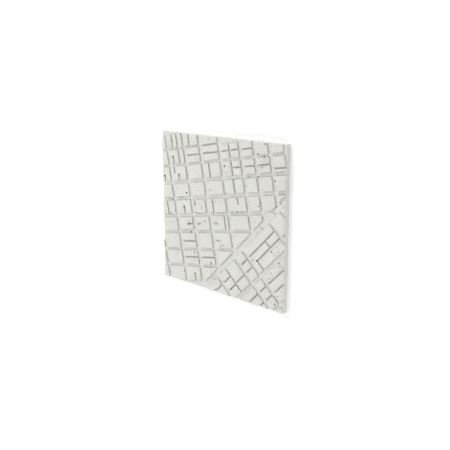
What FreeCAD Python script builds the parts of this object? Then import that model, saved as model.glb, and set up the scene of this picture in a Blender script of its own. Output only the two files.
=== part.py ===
import FreeCAD, Part
import math
import os

# Cast concrete wall tile with a raised relief of flat blocks and sunk streets.
# Sizes are in millimetres. X runs across the face, Y up the face, Z out of it.
# The flat back lies on Z = 0 and its centre is the origin.

# The slab
SIDE = 600.0
BASE = 19.5
RELIEF = 5.5
DRAFT_DEG = 8.0
BLOCK_EASE = 0.6
TILE_EASE = 1.0

# The main grid, turned about the tile's centre. Upright streets are one width, and
# level streets differ row by row. Rows are measured down from ROW_TOP.
MAIN_TILT_DEG = 10.9
STREET = 16.5
SLIT = 7.0
LANE = 10.0
COLUMN_START = -213.0
COLUMN_WIDTHS = (75.0, 67.5, 79.0, 81.5, 47.0, 51.0, 49.0)
EDGE_COLUMN_WIDTH = 77.0
ROW_TOP = 329.5
ROW_HEIGHTS = (50.0, 52.0, 52.0, 50.0, 51.0, 51.0, 57.0, 52.0, 53.0)
ROW_STREETS = (11.0, 13.0, 16.0, 16.0, 16.0, 13.0, 13.0, 14.0)

# Columns and rows count from the left and from the top, and both start at 0.
# In this many upper rows the left block runs out past the tile's edge
OPEN_ROWS = 5
RIM = 0
EDGE = 1

# Grid places that hold no block
GAPS = ((5, 0), (7, 5))

# Blocks whose side stands off its street's line: column, row, side, shift right or up
MAIN_SHIFTS = (
    (3, 0, "left", -5.5),
    (4, 0, "low", -2.5),
    (5, 1, "high", -2.0),
    (3, 4, "right", -8.0),
    (4, 4, "left", -8.5),
    (2, 4, "right", -2.0),
    (2, 5, "right", -4.0),
    (2, 5, "low", 4.0),
    (2, 6, "right", -4.0),
    (2, 7, "right", -4.0),
    (2, 8, "right", -4.0),
    (4, 5, "left", 3.5),
    (4, 6, "left", 3.5),
    (4, 7, "left", 3.5),
)

# The one edge block that stops short of the tile's edge
SHORT_EDGE_ROW = 3
SHORT_EDGE_WIDTH = 40.5

# Blocks parted by an upright cut: column, row, place, width. A place counts
# from the block's left side, and a negative one from its right side.
MAIN_UPRIGHT_CUTS = (
    (2, 0, 18.0, LANE),
    (2, 0, 45.0, LANE),
    (3, 0, 24.5, SLIT),
    (2, 1, 45.5, LANE),
    (5, 1, 37.0, SLIT),
    (4, 2, 22.0, SLIT),
    (5, 2, 37.0, SLIT),
    (5, 3, 36.0, SLIT),
    (EDGE, 4, -41.5, SLIT),
    (4, 4, 22.0, SLIT),
    (4, 5, 58.0, SLIT),
)

# Blocks parted by a level slit: column, row, depth below the block's top, and
# how many of the cell's blocks from the left stay whole
MAIN_LEVEL_CUTS = (
    (3, 1, 22.5, 0),
    (4, 1, 22.5, 0),
    (5, 1, 20.5, 0),
    (6, 1, 24.0, 0),
    (5, 2, 21.0, 1),
    (6, 2, 21.0, 0),
    (7, 2, 21.0, 0),
    (8, 2, 37.0, 0),
    (2, 6, 28.0, 0),
    (2, 7, 22.0, 0),
    (3, 7, 22.0, 0),
)

# Slots that run part of the way into a block: column, row, open side, place
# along that side from the left or the top, length
SLOT_LONG = 31.0
SLOT_MEDIUM = 25.0
SLOT_SHORT = 21.0
NOTCH = 10.0
MAIN_SLOTS = (
    (2, 1, "low", 14.0, SLOT_LONG),
    (EDGE, 2, "low", -31.5, SLOT_MEDIUM),
    (2, 2, "high", 10.0, SLOT_MEDIUM),
    (2, 2, "low", 31.0, SLOT_MEDIUM),
    (2, 4, "low", 35.0, SLOT_LONG),
    (3, 4, "high", 4.0, SLOT_SHORT),
    (5, 4, "high", 43.0, SLOT_MEDIUM),
    (2, 5, "right", 23.0, SLOT_MEDIUM),
    (3, 5, "left", 24.0, SLOT_SHORT),
    (4, 5, "left", 23.0, SLOT_MEDIUM),
    (4, 6, "left", 25.0, SLOT_SHORT),
    (3, 7, "low", 43.5, NOTCH),
    (2, 8, "low", 39.0, SLOT_LONG),
)

# The avenue that crosses both grids. The offset runs from the tile's centre to its near edge.
AVENUE_TILT_DEG = 46.8
AVENUE_OFFSET = 132.0
AVENUE_WIDTH = 26.0

# The fine grid beyond the avenue: columns run along it, and bands count away from it
FINE_START = -166.5
FINE_WIDTHS = (45.0, 54.5, 38.5, 160.5, 52.5)
FINE_STREET = 15.5
FINE_BANDS = (30.0, 27.0, 33.0)
LOWER_BANDS = (28.0, 30.0, 34.0)
BROAD_STREET = 18.0

# Fine blocks that run on through the slit beneath them: column, row
TALL_FINE = ((0, 1), (2, 0), (5, 0), (6, 0))
FINE_SHIFTS = (
    (1, 1, "low", -2.0),
    (1, 2, "high", -2.0),
    (4, 1, "low", 3.0),
    (4, 2, "high", 3.0),
)

# The long fine blocks: the middle one is parted, and turns down a band at its left end
LONG_COLUMN = 4
LONG_ROW = 1
LONG_PARTED_AT = 101.0
LONG_TURN_WIDTH = 18.5

# A block trimmed to less than this is left out, and so is a side shorter than this
KEEP_AREA = 36.0
KEEP_WIDTH = 3.0

# How far a slot's cutter reaches past the faces that it cuts
REACH = 1.0

TOP = BASE + RELIEF
FLARE = RELIEF * math.tan(math.radians(DRAFT_DEG))
HALF = SIDE / 2
FAR = SIDE


def turned(point, tilt_deg):
    """Point of a tilted grid in tile coordinates."""
    c = math.cos(math.radians(tilt_deg))
    s = math.sin(math.radians(tilt_deg))
    return (point[0] * c - point[1] * s, point[0] * s + point[1] * c)


def corners(rect, tilt_deg):
    """Four corners of a (left, right, low, high) rectangle, anticlockwise."""
    left, right, low, high = rect
    flat = [(left, low), (right, low), (right, high), (left, high)]
    return [turned(p, tilt_deg) for p in flat]


def clipped(points, normal, limit):
    """The part of a convex polygon where point . normal <= limit."""
    kept = []
    for i, p in enumerate(points):
        q = points[(i + 1) % len(points)]
        dp = p[0] * normal[0] + p[1] * normal[1] - limit
        dq = q[0] * normal[0] + q[1] * normal[1] - limit
        if dp <= 0:
            kept.append(p)
        if dp * dq < 0:
            t = dp / (dp - dq)
            kept.append((p[0] + t * (q[0] - p[0]), p[1] + t * (q[1] - p[1])))
    return tidy(kept)


def tidy(points):
    """The polygon without corners that crowd the corner before them."""
    kept = []
    for i, p in enumerate(points):
        if math.dist(p, points[i - 1]) > KEEP_WIDTH:
            kept.append(p)
    return kept


def area(points):
    total = 0.0
    for i, p in enumerate(points):
        q = points[(i + 1) % len(points)]
        total += p[0] * q[1] - q[0] * p[1]
    return total / 2


def on_tile(points):
    """The part of a polygon that lies within the square face."""
    for normal in ((1, 0), (-1, 0), (0, 1), (0, -1)):
        points = clipped(points, normal, HALF)
    return points


def grown(points, distance):
    """A convex polygon with every side moved outwards."""
    moved = []
    for i, p in enumerate(points):
        before = points[i - 1]
        after = points[(i + 1) % len(points)]
        n = []
        for start, end in ((before, p), (p, after)):
            length = math.dist(start, end)
            n.append(((end[1] - start[1]) / length, (start[0] - end[0]) / length))
        k = distance / (1 + n[0][0] * n[1][0] + n[0][1] * n[1][1])
        moved.append((p[0] + k * (n[0][0] + n[1][0]), p[1] + k * (n[0][1] + n[1][1])))
    return moved


def stack(points, levels):
    """Solid through copies of one polygon, each level given as (height, growth)."""
    rings = []
    for z, growth in levels:
        rings.append([FreeCAD.Vector(x, y, z) for x, y in grown(points, growth)])
    faces = []
    for ring in (rings[0], rings[-1]):
        faces.append(Part.Face(Part.makePolygon(ring + ring[:1])))
    for lower, upper in zip(rings, rings[1:]):
        for i in range(len(lower)):
            j = (i + 1) % len(lower)
            quad = [lower[i], lower[j], upper[j], upper[i], lower[i]]
            faces.append(Part.Face(Part.makePolygon(quad)))
    solid = Part.makeSolid(Part.makeShell(faces))
    if solid.Volume < 0:
        solid.reverse()
    return solid


def raised(points):
    """Block with leaning flanks and an eased edge round its top."""
    return stack(points, [(BASE, FLARE), (TOP - BLOCK_EASE, 0.0), (TOP, -BLOCK_EASE)])


def sunk(points):
    """The space of a slot: the inverse of a block, open above."""
    deeper = REACH * FLARE / RELIEF
    levels = [(BASE - REACH, -FLARE - deeper), (TOP - BLOCK_EASE, 0.0), (TOP + REACH, BLOCK_EASE + REACH)]
    return stack(points, levels)


def spans(start, sizes, gaps):
    """(low, high) pairs of blocks set out one after another."""
    found = []
    for i, size in enumerate(sizes):
        found.append((start, start + size))
        start += size
        if i < len(gaps):
            start += gaps[i]
    return found


class District:
    """Cells of one grid, each holding the rectangles and slots of its blocks."""

    SIDES = ("left", "right", "low", "high")

    def __init__(self, tilt_deg, columns, rows):
        self.tilt = tilt_deg
        self.cells = {}
        self.slots = []
        for c, (left, right) in enumerate(columns):
            for r, (low, high) in enumerate(rows):
                self.cells[c, r] = [[left, right, low, high]]

    def bounds(self, cell):
        rects = self.cells[cell]
        return (min(r[0] for r in rects), max(r[1] for r in rects),
                min(r[2] for r in rects), max(r[3] for r in rects))

    def shift(self, cell, side, distance):
        """Move one side of a cell's only block."""
        self.cells[cell][0][self.SIDES.index(side)] += distance

    def along(self, cell, place):
        """Where a place counted from a cell's left or right side lies."""
        left, right, low, high = self.bounds(cell)
        return left + place if place >= 0 else right + place

    def upright_cut(self, cell, place, width):
        """Part a cell's block with an upright cut that starts at `place`."""
        start = self.along(cell, place)
        parted = []
        for left, right, low, high in self.cells[cell]:
            if left < start and start + width < right:
                parted.append([left, start, low, high])
                parted.append([start + width, right, low, high])
            else:
                parted.append([left, right, low, high])
        self.cells[cell] = parted

    def level_cut(self, cell, depth, whole):
        """Part a cell's blocks `depth` below the top, all but the first `whole`."""
        start = self.bounds(cell)[3] - depth
        parted = self.cells[cell][:whole]
        for left, right, low, high in self.cells[cell][whole:]:
            parted.append([left, right, start, high])
            parted.append([left, right, low, start - SLIT])
        self.cells[cell] = parted

    def slot(self, cell, side, place, length):
        """Cut a slot inwards from one side of a cell."""
        left, right, low, high = self.bounds(cell)
        if side in ("low", "high"):
            x = self.along(cell, place)
            y = (high - length, high + SLIT) if side == "high" else (low - SLIT, low + length)
            self.slots.append((x, x + SLIT, y[0], y[1]))
        else:
            y = high - place
            x = (left - SLIT, left + length) if side == "left" else (right - length, right + SLIT)
            self.slots.append((x[0], x[1], y - SLIT, y))

    def solids(self, envelope, trim=None):
        """Raised blocks, cut off along the line (normal, limit) and at the tile's edge."""
        cutters = [sunk(corners(rect, self.tilt)) for rect in self.slots]
        made = []
        for cell in sorted(self.cells):
            for rect in self.cells[cell]:
                points = corners(rect, self.tilt)
                if trim:
                    points = clipped(points, *trim)
                seen = on_tile(points)
                if len(seen) < 3 or area(seen) < KEEP_AREA:
                    continue
                block = raised(points)
                for cutter in cutters:
                    if cutter.BoundBox.intersect(block.BoundBox):
                        block = block.cut(cutter)
                reach = max(abs(v) for p in points for v in p)
                if reach > HALF - 2 * FLARE - TILE_EASE:
                    block = block.common(envelope)
                made.extend(block.Solids)
        return made


def main_district():
    """The large grid that covers most of the face."""
    columns = spans(COLUMN_START, COLUMN_WIDTHS, [STREET] * len(COLUMN_WIDTHS))
    edge_right = COLUMN_START - STREET
    edge_left = edge_right - EDGE_COLUMN_WIDTH
    columns = [(-FAR, edge_left - STREET), (edge_left, edge_right)] + columns
    rows = [(-low, -high) for high, low in spans(-ROW_TOP, ROW_HEIGHTS, ROW_STREETS)]
    rows = [(min(row), max(row)) for row in rows]
    grid = District(MAIN_TILT_DEG, columns, rows)

    for row in range(OPEN_ROWS):
        grid.cells[EDGE, row][0][0] = -FAR
        del grid.cells[RIM, row]
    grid.cells[EDGE, SHORT_EDGE_ROW][0][0] = edge_right - SHORT_EDGE_WIDTH
    for cell in GAPS:
        del grid.cells[cell]
    for column, row, side, distance in MAIN_SHIFTS:
        grid.shift((column, row), side, distance)
    for column, row, place, width in MAIN_UPRIGHT_CUTS:
        grid.upright_cut((column, row), place, width)
    for column, row, depth, whole in MAIN_LEVEL_CUTS:
        grid.level_cut((column, row), depth, whole)
    for column, row, side, place, length in MAIN_SLOTS:
        grid.slot((column, row), side, place, length)
    return grid


def fine_district():
    """The small grid in the corner beyond the avenue."""
    gaps = [SLIT] + [FINE_STREET] * (len(FINE_WIDTHS) - 1)
    columns = spans(FINE_START, FINE_WIDTHS, gaps)
    columns.insert(0, (-FAR, FINE_START - FINE_STREET))
    columns.append((columns[-1][1] + FINE_STREET, FAR))
    bands = FINE_BANDS + LOWER_BANDS + (FAR,)
    gaps = [SLIT, SLIT, BROAD_STREET, SLIT, SLIT, FINE_STREET]
    down = spans(AVENUE_OFFSET + AVENUE_WIDTH, bands, gaps)
    rows = [(-low, -high) for high, low in down]
    grid = District(AVENUE_TILT_DEG, columns, rows)
    cells = grid.cells

    for column, row, side, distance in FINE_SHIFTS:
        grid.shift((column, row), side, distance)
    for column, row in TALL_FINE:
        cells[column, row][0][2] = rows[row + 1][0]
        del cells[column, row + 1]

    # Below the broad street, one wide block takes the place of the first three
    for row in range(len(FINE_BANDS), len(rows)):
        cells[2, row][0][0] = -FAR
        del cells[1, row]
        del cells[0, row]

    long = (LONG_COLUMN, LONG_ROW)
    under = (LONG_COLUMN, LONG_ROW + 1)
    left, right, low, high = grid.bounds(long)
    turn_right = left + LONG_TURN_WIDTH
    grid.upright_cut(long, LONG_PARTED_AT, SLIT)
    cells[long].append([left, turn_right, grid.bounds(under)[2], high])
    cells[under][0][0] = turn_right + SLIT
    return grid


def cast_panel():
    envelope = Part.makeBox(SIDE, SIDE, TOP, FreeCAD.Vector(-HALF, -HALF, 0))
    envelope = envelope.makeChamfer(TILE_EASE, envelope.Edges)
    floor_cut = Part.makeBox(SIDE, SIDE, BASE, FreeCAD.Vector(-HALF, -HALF, 0))
    slab = envelope.common(floor_cut)
    angle = math.radians(AVENUE_TILT_DEG)
    avenue = ((math.sin(angle), -math.cos(angle)), AVENUE_OFFSET)
    blocks = main_district().solids(envelope, avenue) + fine_district().solids(envelope)
    print("blocks", len(blocks))
    return slab.multiFuse(blocks).removeSplitter()


os.makedirs("parts", exist_ok=True)
panel = cast_panel()
solid = panel.Solids[0]
print("solids", len(panel.Solids), "valid", solid.isValid(), "faces", len(solid.Faces))
print("box", solid.BoundBox, "volume", round(solid.Volume))
solid.exportStep("parts/cast_panel.step")
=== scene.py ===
# %% [markdown]
# # A cast concrete wall tile
#
# The object is one casting: a square slab of pale concrete with a low relief of
# flat blocks on its face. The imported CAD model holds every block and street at
# its real size. This lesson turns that hard-edged model into something that came
# out of a mould: softened edges, air holes, and a mineral skin that takes light
# the way concrete does.

import math
import random

import bmesh
import bpy
from mathutils import Matrix, Vector, noise
from mathutils.bvhtree import BVHTree


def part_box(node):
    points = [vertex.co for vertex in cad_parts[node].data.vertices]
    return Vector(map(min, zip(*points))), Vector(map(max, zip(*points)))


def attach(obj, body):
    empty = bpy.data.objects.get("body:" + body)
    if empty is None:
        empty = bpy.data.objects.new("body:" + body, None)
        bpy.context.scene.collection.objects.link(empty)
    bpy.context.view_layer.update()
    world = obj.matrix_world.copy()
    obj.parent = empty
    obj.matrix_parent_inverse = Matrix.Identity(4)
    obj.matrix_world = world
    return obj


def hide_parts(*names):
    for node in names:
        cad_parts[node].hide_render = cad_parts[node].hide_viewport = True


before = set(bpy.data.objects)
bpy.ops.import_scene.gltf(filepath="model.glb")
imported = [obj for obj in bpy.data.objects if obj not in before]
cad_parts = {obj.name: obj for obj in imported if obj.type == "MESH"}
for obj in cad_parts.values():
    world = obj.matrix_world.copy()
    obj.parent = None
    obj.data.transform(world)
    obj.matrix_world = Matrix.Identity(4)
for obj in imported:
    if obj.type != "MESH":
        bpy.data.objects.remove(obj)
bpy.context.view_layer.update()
MM = 0.001

low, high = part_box("cast_panel")
SIDE = high[0] - low[0]
HALF = SIDE / 2
FACE_Z = high[2]
print("tile side", round(SIDE, 4), "thickness", round(FACE_Z, 4))

# %% [markdown]
# ## The camera
#
# A studio picture of a wall tile is usually taken from a little to one side and
# from above, so that the relief throws its own small shadows. The tile lies on
# its back here, so the camera looks down on it from its right. A camera in
# Blender looks along its own -Z with +Y as up, so we build its matrix from the
# line of sight and the tile's own up direction, which keeps the sides upright.

# %% Camera
CAMERA_AT = Vector((1.463, 0.590, 1.672))
LOOK_AT = Vector((0.029, 0.145, 0.0225))
LENS_MM = 48.8
SHIFT_Y = -0.1


def aim(at, target):
    """A camera's world matrix, level with the tile's own up direction."""
    back = (at - target).normalized()
    right = Vector((0, 1, 0)).cross(back).normalized()
    up = back.cross(right)
    turn = Matrix((right, up, back)).transposed()
    return Matrix.Translation(at) @ turn.to_4x4()


camera = bpy.data.objects.new("camera", bpy.data.cameras.new("camera"))
camera.data.lens = LENS_MM
camera.data.sensor_width = 36
camera.data.shift_y = SHIFT_Y
camera.data.clip_end = 50
camera.matrix_world = aim(CAMERA_AT, LOOK_AT)
bpy.context.scene.collection.objects.link(camera)
bpy.context.scene.camera = camera
print("camera distance", round((CAMERA_AT - LOOK_AT).length, 3))

# %% [markdown]
# ## Shader maths
#
# A material is a sum of masks and noises. Written as nodes and links that is
# hard to read, so one small class wraps a socket and lets Python's own operators
# add the Math nodes.

# %% A socket that can be added and multiplied
class S:
    """One value inside a material's node tree."""

    def __init__(self, tree, socket):
        self.tree = tree
        self.socket = socket

    def node(self, kind, settings=None, **inputs):
        """Add a node, apply its settings, then fill its sockets by name."""
        made = self.tree.nodes.new(kind)
        for name, value in (settings or {}).items():
            if name == "stops":
                paint_stops(made.color_ramp, value)
            else:
                setattr(made, name, value)
        for name, value in inputs.items():
            key = int(name[1:]) if name[0] == "_" else name.replace("_", " ")
            if isinstance(value, S):
                self.tree.links.new(value.socket, made.inputs[key])
            else:
                made.inputs[key].default_value = value
        return made

    def out(self, kind, settings=None, output=0, **inputs):
        return S(self.tree, self.node(kind, settings, **inputs).outputs[output])

    def math(self, operation, a, b=0.0):
        return self.out("ShaderNodeMath", {"operation": operation}, _0=a, _1=b)

    def __add__(self, other):
        return self.math("ADD", self, other)

    def __radd__(self, other):
        return self.math("ADD", other, self)

    def __sub__(self, other):
        return self.math("SUBTRACT", self, other)

    def __rsub__(self, other):
        return self.math("SUBTRACT", other, self)

    def __mul__(self, other):
        return self.math("MULTIPLY", self, other)

    def __rmul__(self, other):
        return self.math("MULTIPLY", other, self)

    def above(self, edge, softness):
        """0 below edge, 1 above it, with a soft step between."""
        return self.out("ShaderNodeMapRange", {"interpolation_type": "SMOOTHSTEP"},
                        Value=self, From_Min=edge - softness, From_Max=edge + softness)


def paint_stops(ramp, stops):
    """Give a colour ramp its (place, colour) stops."""
    for extra in list(ramp.elements)[1:]:
        ramp.elements.remove(extra)
    for i, (place, colour) in enumerate(stops):
        stop = ramp.elements[0] if i == 0 else ramp.elements.new(place)
        stop.position = place
        stop.color = colour


# %% [markdown]
# ## Cast concrete
#
# Pale concrete is white cement, fine sand and lime. Three noises of very
# different size carry it: clouds where the mix set at different speeds, a mottle
# the size of a peppercorn, and the grain of the sand. Sparse dark and white specks
# and pinholes come from cell noise, switched on in only a few cells by the cell's
# own random value. The face was poured against a smooth mould, but the back was
# struck off with a trowel while wet, so it is a little darker and streaked.
#
# The slits and the foot of each block get painted shade: their colour is darkened
# towards a dull grey. An Ambient Occlusion node measures how closed in a point is by
# the tile itself, whatever the light and the camera do, so it masks this painted shade.

# %% The concrete's colours, and its patterns per metre
TONES = [
    (0.36, (0.596, 0.593, 0.556, 1)),
    (0.50, (0.693, 0.689, 0.653, 1)),
    (0.64, (0.762, 0.758, 0.724, 1)),
]
DARK_SAND = (0.36, 0.35, 0.32, 1)
WHITE_SAND = (0.82, 0.82, 0.80, 1)
PINHOLE = (0.26, 0.26, 0.24, 1)
# painted shade: the dull grey laid into the slits and along the foot of each block
CREVICE_PAINTED_SHADE = (0.30, 0.305, 0.250, 1)
PAINTED_SHADE_REACH = 9 * MM
PAINTED_SHADE_DEPTH = 0.52

CLOUDS = {"Scale": 6.0, "Detail": 4.0, "Roughness": 0.5}
MOTTLE = {"Scale": 180.0, "Detail": 4.0, "Roughness": 0.6, "Distortion": 0.4}
GRAIN = {"Scale": 800.0, "Detail": 3.0, "Roughness": 0.7}
STREAKS = {"Scale": 1.0, "Detail": 5.0, "Roughness": 0.6}
TROWEL_STROKE = (12.0, 120.0, 60.0)
BACK_LEVEL = 1.0 * MM
BACK_FADE = 0.8 * MM
GRAIN_HEIGHT = 0.6 * MM
print("tones", len(TONES), "mottle per metre", MOTTLE["Scale"])


# %% Specks, and one colour over another
def specks(here, per_metre, share, reach):
    """A dot in some cells of a cell noise: 1 at the dot's middle, 0 outside `reach`."""
    cells = here.node("ShaderNodeTexVoronoi", Vector=here, Scale=per_metre, Randomness=1.0)
    distance = S(here.tree, cells.outputs["Distance"])
    dice = here.out("ShaderNodeSeparateColor", Color=S(here.tree, cells.outputs["Color"]))
    return dice.above(1 - share, 0.01) * (1 - distance.above(reach, reach * 0.45))


def mixed(here, mask, colour, other):
    """`colour` where the mask is 0, `other` where it is 1."""
    return here.out("ShaderNodeMix", {"data_type": "RGBA"}, output=2, _0=mask, _6=colour, _7=other)


# %% Concrete
def concrete():
    """Pale cast concrete: cloudy, fine-grained and matt."""
    material = bpy.data.materials.new("pale_concrete")
    material.use_nodes = True
    tree = material.node_tree
    shader = tree.nodes["Principled BSDF"]
    here = S(tree, tree.nodes.new("ShaderNodeTexCoord").outputs["Object"])
    height = here.out("ShaderNodeSeparateXYZ", output=2, Vector=here)

    clouds = here.out("ShaderNodeTexNoise", Vector=here, **CLOUDS)
    mottle = here.out("ShaderNodeTexNoise", Vector=here, **MOTTLE)
    grain = here.out("ShaderNodeTexNoise", Vector=here, **GRAIN)
    stretch = here.out("ShaderNodeMapping", Vector=here, Scale=TROWEL_STROKE)
    streaks = here.out("ShaderNodeTexNoise", Vector=stretch, **STREAKS)
    back = 1 - height.above(BACK_LEVEL, BACK_FADE)

    tone = clouds * 0.16 + mottle * 0.56 + grain * 0.28 + back * (streaks - 0.62) * 0.5
    colour = here.out("ShaderNodeValToRGB", {"stops": TONES}, Fac=tone)
    dark_sand = specks(here, 420.0, 0.10, 0.20)
    white_sand = specks(here, 360.0, 0.12, 0.22)
    pinholes = specks(here, 230.0, 0.16, 0.13)
    colour = mixed(here, dark_sand * 0.40, colour, DARK_SAND)
    colour = mixed(here, white_sand * 0.50, colour, WHITE_SAND)
    colour = mixed(here, pinholes * 0.65, colour, PINHOLE)
    # painted shade: the colour darkens where the tile closes in on itself, through the Ambient Occlusion
    # mask
    openness = here.out("ShaderNodeAmbientOcclusion", {"samples": 8, "only_local": True},
                        output=1, Distance=PAINTED_SHADE_REACH)
    colour = mixed(here, (1 - openness) * PAINTED_SHADE_DEPTH, colour, CREVICE_PAINTED_SHADE)
    tree.links.new(colour.socket, shader.inputs["Base Color"])

    rough = 0.80 + mottle * 0.12 + back * 0.06
    tree.links.new(rough.socket, shader.inputs["Roughness"])
    relief = mottle * 0.40 + grain * 0.35 + back * streaks * 0.9 - pinholes * 0.9
    bump = here.out("ShaderNodeBump", Strength=0.35, Distance=GRAIN_HEIGHT, Height=relief)
    tree.links.new(bump.socket, shader.inputs["Normal"])
    shader.inputs["Specular IOR Level"].default_value = 0.22
    return material


# %% The inside of the air holes, painted dark as shade
# painted shade: dark greys that stand for the shade inside each hole
HOLE_SHADE_TONES = [(0.35, (0.20, 0.20, 0.18, 1)), (0.65, (0.36, 0.36, 0.33, 1))]
CRUMB_HEIGHT = 0.4 * MM


def hole_painted_shade():
    """The inside of an air hole: painted shade, a dark grey with a coarse bump."""
    material = bpy.data.materials.new("hole_painted_shade")
    material.use_nodes = True
    tree = material.node_tree
    shader = tree.nodes["Principled BSDF"]
    here = S(tree, tree.nodes.new("ShaderNodeTexCoord").outputs["Object"])
    crumbs = here.out("ShaderNodeTexNoise", Vector=here, Scale=1400.0, Detail=4.0, Roughness=0.7)
    colour = here.out("ShaderNodeValToRGB", {"stops": HOLE_SHADE_TONES}, Fac=crumbs)
    tree.links.new(colour.socket, shader.inputs["Base Color"])
    bump = here.out("ShaderNodeBump", Strength=0.5, Distance=CRUMB_HEIGHT, Height=crumbs)
    tree.links.new(bump.socket, shader.inputs["Normal"])
    shader.inputs["Roughness"].default_value = 0.95
    shader.inputs["Specular IOR Level"].default_value = 0.1
    return material


# %% [markdown]
# ## The casting
#
# The CAD solid has the right form but razor-sharp corners at the foot of each
# block. A mould never gives those: wet concrete rounds the foot and the arris by
# a few tenths of a millimetre. We copy the CAD mesh, weld its loose triangles, melt
# the flat ones together, and bevel every edge where the surface really turns.
# Bevelling needs clean edges, which is why the welding and melting come first.

# %% A welded copy of the CAD mesh
WELD = 0.02 * MM
FLAT_WITHIN = math.radians(0.5)


def welded_copy(node):
    """The CAD node's mesh as a bmesh with shared corners and whole flat faces."""
    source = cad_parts[node]
    bm = bmesh.new()
    bm.from_mesh(source.data)
    bmesh.ops.remove_doubles(bm, verts=bm.verts, dist=WELD)
    bmesh.ops.dissolve_limit(bm, angle_limit=FLAT_WITHIN, verts=bm.verts, edges=bm.edges)
    return bm


casting = welded_copy("cast_panel")
print("welded faces", len(casting.faces), "open edges", sum(not e.is_manifold for e in casting.edges))

# %% Soften the edges
SHARP = math.radians(25)
ARRIS = 0.28 * MM


def soften(bm, width):
    """Round every edge where two faces meet at more than the sharp angle."""
    turning = [e for e in bm.edges if e.is_manifold and e.calc_face_angle(0) > SHARP]
    bmesh.ops.bevel(bm, geom=turning, affect="EDGES", offset=width, offset_type="OFFSET",
                    segments=2, profile=0.5, material=-1, clamp_overlap=True)
    return len(turning)


print("edges softened", soften(casting, ARRIS), "faces now", len(casting.faces))


def as_object(bm, name):
    """Turn a bmesh into a smooth-shaded object at the origin."""
    mesh = bpy.data.meshes.new(name)
    bm.to_mesh(mesh)
    bm.free()
    mesh.shade_smooth()
    made = bpy.data.objects.new(name, mesh)
    bpy.context.scene.collection.objects.link(made)
    return made


# %% [markdown]
# ## Air holes
#
# Wet concrete holds bubbles, and the ones that settle against the mould stay
# open as holes in the finished face. They are not spread evenly: most blocks have
# a few, some level streets have a whole row along the block above, and a few
# blocks have none. The holes that can be told apart are set out one by one, in
# millimetres from the middle of the face; the finest come in seeded patches.
# Each hole is a lumpy ball sunk a little below the surface, so its rim overhangs
# and its inside stays dark, deepened by a painted shade on its walls.

# %% Where the holes are
MAIN_TILT = 10.9
AVENUE_TILT = 46.8

# Wide holes: x, y and width
WIDE_HOLES = [
    # upper left
    (-167, 68, 9.5), (-246, 268, 5.4), (-238, 204, 6.8), (-207, 136, 8.0), (-286, 121, 8.2),
    (-245, 30, 8.1), (-180, 12, 7.2), (-260, 35, 6.2), (-202, 190, 5.2), (-147, 45, 5.6),
    (-50, 288, 5.4), (-50, 197, 5.2), (-43, 98, 5.4),
    # upper right
    (28, 197, 8.1), (182, 257, 8.0), (184, 177, 8.0), (115, 41, 8.6), (187, 72, 6.4),
    (195, 83, 5.6), (256, 172, 6.2), (213, 295, 6.0), (210, 252, 5.2), (72, 152, 5.4),
    (264, 84, 5.4), (207, 32, 5.4), (129, 137, 5.4),
    # lower left
    (-257, -28, 8.0), (-157, -53, 8.0), (-142, -84, 8.6), (-268, -12, 5.4), (-116, -3, 5.8),
    # painted shadow: the hole at (-17, -290) sits where a slit meets the bottom edge, a dark hole put in
    # place of a shadow there
    (-127, -166, 6.4), (-125, -248, 8.6), (-43, -207, 6.0), (-22, -250, 5.6), (-17, -290, 7.0),
    (-72, -28, 5.4),
    # lower right
    (164, -131, 6.9), (182, -130, 6.0), (247, -82, 6.8), (280, -117, 6.8), (265, -273, 6.9),
    (277, -240, 5.4), (14, -212, 5.6), (4, -264, 5.6), (20, -106, 6.0), (9, -114, 5.4),
    (294, -128, 5.2), (240, -184, 5.4), (64, -264, 5.6),
]
# Middling holes: x and y
HOLES = [
    # upper left
    (-242, 75), (-257, 242), (-233, 154), (-114, 210), (-167, 153), (-162, 130), (-153, 144),
    (-108, 289), (-104, 269), (-57, 243), (-222, 240), (-78, 145), (-262, 26), (-190, 48),
    (-209, 35), (-172, 44), (-88, 22), (-16, 58), (-110, 85),
    # upper right
    (86, 297), (86, 157), (178, 216), (220, 228), (202, 213), (231, 197), (219, 130), (280, 128),
    (285, 113), (281, 97), (296, 131), (143, 173), (88, 84), (38, 92), (43, 77), (75, 90),
    (93, 199), (64, 29), (86, 32), (93, 37), (105, 39), (244, 62), (250, 59), (258, 57), (143, 15),
    (12, 61),
    # lower left
    (-284, -36), (-230, -12), (-222, -50), (-239, -60), (-239, -84), (-171, -80), (-118, -60),
    (-66, -31), (-80, -67), (-93, -71), (-101, -79), (-229, -186), (-217, -187), (-101, -197),
    (-129, -197), (-38, -185), (-38, -192), (-183, -255), (-268, -278), (-197, -175), (-21, -236),
    (-32, -247), (5, -251),
    # lower right
    (200, -3), (207, -7), (267, -60), (283, -41), (278, -75), (14, -89), (118, -116), (273, -150),
    (248, -160), (280, -130), (293, -218), (252, -267),
]
# Small holes: x and y
SMALL_HOLES = [
    (-252, 193), (-217, 184), (34, 278), (30, 272), (49, 197), (166, 235), (213, 236), (206, 242),
    (263, 151), (206, 134), (129, 165), (138, 165), (148, 182), (134, 134), (-67, 38), (-37, 96),
    (-3, 55), (42, 23), (77, 25), (158, 27), (176, 12), (-285, 6), (-98, -104), (-98, -113),
    (-121, -162), (-26, -276), (187, -25), (178, -30), (75, -57), (261, -92), (208, -121),
    (222, -186), (262, -138), (270, -259),
]
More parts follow.
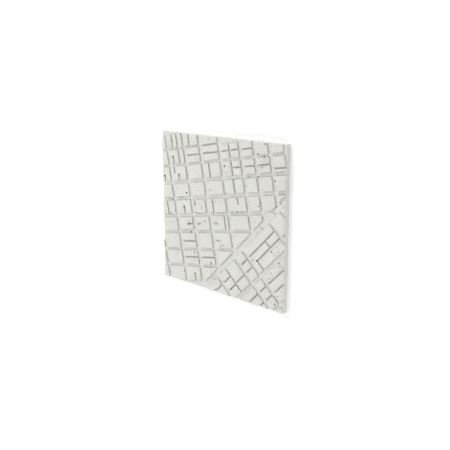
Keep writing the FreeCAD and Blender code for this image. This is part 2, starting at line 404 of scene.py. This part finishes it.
# Patches of fine holes on each grid's own axes: left, right, low, high, how many
PATCHES = {
    MAIN_TILT: [
        (-292, -240, 80, 86, 12), (-205, -142, 80, 86, 14), (-300, -232, 13, 19, 12),
        (-118, -64, 13, 19, 11), (-35, 40, 12, 19, 15), (60, 138, 12, 19, 15),
        (-208, -145, -54, -48, 15), (160, 202, 138, 152, 9), (288, 326, 140, 152, 12),
        (-98, -62, 40, 66, 7), (-178, -152, -24, -8, 9), (-116, -92, -30, -14, 8),
        (-24, -2, -28, -14, 8), (-24, -6, -108, -92, 7), (222, 272, 186, 212, 10),
        (225, 270, 156, 176, 6), (62, 92, 154, 200, 8), (285, 330, 72, 86, 9),
    ],
    AVENUE_TILT: [
        (10, 130, -308, -281, 32), (30, 160, -260, -231, 18), (-222, -150, -184, -150, 13),
        (-30, 50, -392, -356, 12), (96, 160, -392, -352, 18),
    ],
}
print("places set by hand", len(WIDE_HOLES) + len(HOLES) + len(SMALL_HOLES))

# %% [markdown]
# The cutter is one mesh of many balls. The places were read along the line of
# sight from one eye point, so a ray from there finds whether a hole opens in a
# block, in its flank or in the street behind it. Balls that would touch are left
# out, because the boolean cut needs a clean cutter. The cut rounds its results, so
# the last step puts any corner that strayed a hair outside the solid's box back.

# %% One ball for each hole
EYE = Vector((1.367, 0.616, 1.713))
EDGE_ROOM = 3 * MM
SEED = 41
SINK = 0.16
APART = 0.62
LUMPINESS = 0.22
LUMPS_ACROSS = 1.4
COARSE_BELOW = 4 * MM

chance = random.Random(SEED)
surface = BVHTree.FromBMesh(casting)
cutter = bmesh.new()
taken = []


def bubble(at, outward, width):
    """Add a lumpy ball whose middle lies a little below the surface."""
    if any((at - other).length < (width + wide) * APART for other, wide in taken):
        return
    taken.append((at.copy(), width))
    fineness = 3 if width > COARSE_BELOW else 2
    ball = bmesh.ops.create_icosphere(cutter, subdivisions=fineness, radius=width / 2)
    squash = Matrix.Diagonal([chance.uniform(0.8, most) for most in (1.15, 1.15, 1.0)])
    swing = Matrix.Rotation(chance.uniform(0, math.tau), 3, "Z")
    seat = outward.to_track_quat("Z", "Y").to_matrix() @ swing
    offset = Vector((chance.uniform(-9, 9), chance.uniform(-9, 9), 0))
    for corner in ball["verts"]:
        lump = 1 + LUMPINESS * noise.noise(corner.co * LUMPS_ACROSS / width + offset)
        corner.co = at - outward * SINK * width + seat @ (squash @ corner.co * lump)


def face_hole(x, y, width):
    """A hole where the line of sight past (x, y), at the height of the block tops, meets the casting."""
    over = Vector((x, y, FACE_Z + 0.1 * MM))
    hit, outward, _, _ = surface.ray_cast(over, (over - EYE).normalized())
    if hit and max(abs(hit.x), abs(hit.y)) < HALF - EDGE_ROOM:
        bubble(hit, outward, width)


def turned(a, b, tilt):
    """A place on a tilted grid's own axes, in the tile's."""
    c, s = math.cos(math.radians(tilt)), math.sin(math.radians(tilt))
    return a * c - b * s, a * s + b * c


# %% Holes in the face
for x, y, width in WIDE_HOLES:
    face_hole(x * MM, y * MM, width * MM)
for x, y in HOLES:
    face_hole(x * MM, y * MM, chance.uniform(3.8, 5.0) * MM)
for x, y in SMALL_HOLES:
    face_hole(x * MM, y * MM, chance.uniform(2.8, 3.6) * MM)
print("holes set out by hand", len(taken))
for tilt, patches in PATCHES.items():
    for left, right, low_side, high_side, count in patches:
        for _ in range(count):
            x, y = turned(chance.uniform(left, right), chance.uniform(low_side, high_side), tilt)
            face_hole(x * MM, y * MM, chance.uniform(2.0, 3.6) * MM)
print("holes in the face", len(taken))


# %% Holes in the sides and the back
SPREAD = 0.28
SIDE_HOLES = 14
BACK_HOLES = 60


def edge_hole(along, height, width, side):
    """A hole in one of the four sides, `side` quarter turns from the right one."""
    turn = Matrix.Rotation(side * math.pi / 2, 3, "Z")
    bubble(turn @ Vector((HALF, along, height)), turn @ Vector((1, 0, 0)), width)


for side in range(4):
    for _ in range(SIDE_HOLES):
        along = chance.uniform(-SPREAD, SPREAD)
        height = chance.uniform(3, 16) * MM
        edge_hole(along, height, chance.uniform(1.3, 3.4) * MM, side)
for _ in range(BACK_HOLES):
    spot = Vector((chance.uniform(-SPREAD, SPREAD), chance.uniform(-SPREAD, SPREAD), 0))
    bubble(spot, Vector((0, 0, -1)), chance.uniform(1.4, 4.2) * MM)
print("holes in all", len(taken), "cutter faces", len(cutter.faces))

# %% Cut them out
tile = as_object(casting, "concrete_tile")
tile.data.materials.append(concrete())
balls = as_object(cutter, "balls")
# the hole walls take the painted shade material
balls.data.materials.append(hole_painted_shade())
cut = tile.modifiers.new("air holes", "BOOLEAN")
cut.operation = "DIFFERENCE"
cut.solver = "EXACT"
cut.object = balls
cut.material_mode = "TRANSFER"
pitted = bpy.data.meshes.new_from_object(tile.evaluated_get(bpy.context.evaluated_depsgraph_get()))
tile.modifiers.clear()
tile.data = pitted
bpy.data.objects.remove(balls)
for corner in tile.data.vertices:
    corner.co = [min(max(value, least), most) for value, least, most in zip(corner.co, low, high)]

CREASE = math.radians(22)
tile.data.set_sharp_from_angle(angle=CREASE)
print("tile triangles", sum(len(p.vertices) - 2 for p in tile.data.polygons))

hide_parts("cast_panel")
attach(tile, "root")

# %% [markdown]
# ## Floor and light
#
# The tile lies on a light table: a white floor that also glows a little, so that
# the tile's own shadow stays pale and its outline crisp. Further out the glow
# rises until floor and surround are one white with no horizon.

# %% Floor
FLOOR_HALF = 6.0
GLOW_STARTS = 1.9
GLOW_FULL = 4.2
TABLE_GLOW = (0.34, 0.34, 0.34, 1)
FULL_WHITE = (1, 1, 1, 1)
TABLE_TONE = (0.70, 0.70, 0.70, 1)


def white_floor():
    """Matt and pale, with a faint glow near the tile and a full glow further out."""
    material = bpy.data.materials.new("white_floor")
    material.use_nodes = True
    tree = material.node_tree
    shader = tree.nodes["Principled BSDF"]
    here = S(tree, tree.nodes.new("ShaderNodeTexCoord").outputs["Object"])
    radius = here.out("ShaderNodeVectorMath", {"operation": "LENGTH"}, output=1, _0=here)
    glow = radius.above((GLOW_STARTS + GLOW_FULL) / 2, (GLOW_FULL - GLOW_STARTS) / 2)
    light = mixed(here, glow, TABLE_GLOW, FULL_WHITE)
    tree.links.new(light.socket, shader.inputs["Emission Color"])
    shader.inputs["Emission Strength"].default_value = 1.0
    shader.inputs["Base Color"].default_value = TABLE_TONE
    shader.inputs["Roughness"].default_value = 0.9
    shader.inputs["Specular IOR Level"].default_value = 0.2
    return material


floor_bm = bmesh.new()
bmesh.ops.create_grid(floor_bm, x_segments=1, y_segments=1, size=FLOOR_HALF)
floor = as_object(floor_bm, "floor")
floor.data.materials.append(white_floor())


# %% Lights
BOX_SIZE = (3.0, 1.6)
BOX_DISTANCE = 5.0


def soft_box(name, bearing, height, power):
    """An area light aimed at the tile: bearing and height are angles in degrees."""
    light = bpy.data.lights.new(name, "AREA")
    light.shape = "RECTANGLE"
    light.size, light.size_y = BOX_SIZE
    light.energy = power
    swing, lift = math.radians(bearing), math.radians(height)
    flat = math.cos(lift)
    at = BOX_DISTANCE * Vector((math.cos(swing) * flat, math.sin(swing) * flat, math.sin(lift)))
    made = bpy.data.objects.new(name, light)
    made.matrix_world = aim(at, Vector((0, 0, 0)))
    bpy.context.scene.collection.objects.link(made)


soft_box("top", 120, 40, 140)
soft_box("top_low", 90, 12, 48)
soft_box("left", 180, 60, 62)
soft_box("left_low", 210, 12, 61)
soft_box("bottom_left", 240, 40, 28)
soft_box("bottom", 300, 40, 113)
soft_box("right", 0, 25, 24)
print("soft boxes", len(bpy.data.lights))

# %% A white surround that fades overhead
SKY_EDGE = 0.26
SKY_SOFTNESS = 0.08
BLACK = (0, 0, 0, 1)

world = bpy.data.worlds.new("studio")
world.use_nodes = True
sky = world.node_tree
background = sky.nodes["Background"]
direction = S(sky, sky.nodes.new("ShaderNodeTexCoord").outputs["Generated"])
climb = direction.out("ShaderNodeSeparateXYZ", output=2, Vector=direction)
fade = mixed(direction, climb.above(SKY_EDGE, SKY_SOFTNESS), FULL_WHITE, BLACK)
sky.links.new(fade.socket, background.inputs["Color"])
background.inputs["Strength"].default_value = 1.0
bpy.context.scene.world = world
bpy.context.scene.view_settings.view_transform = "Standard"
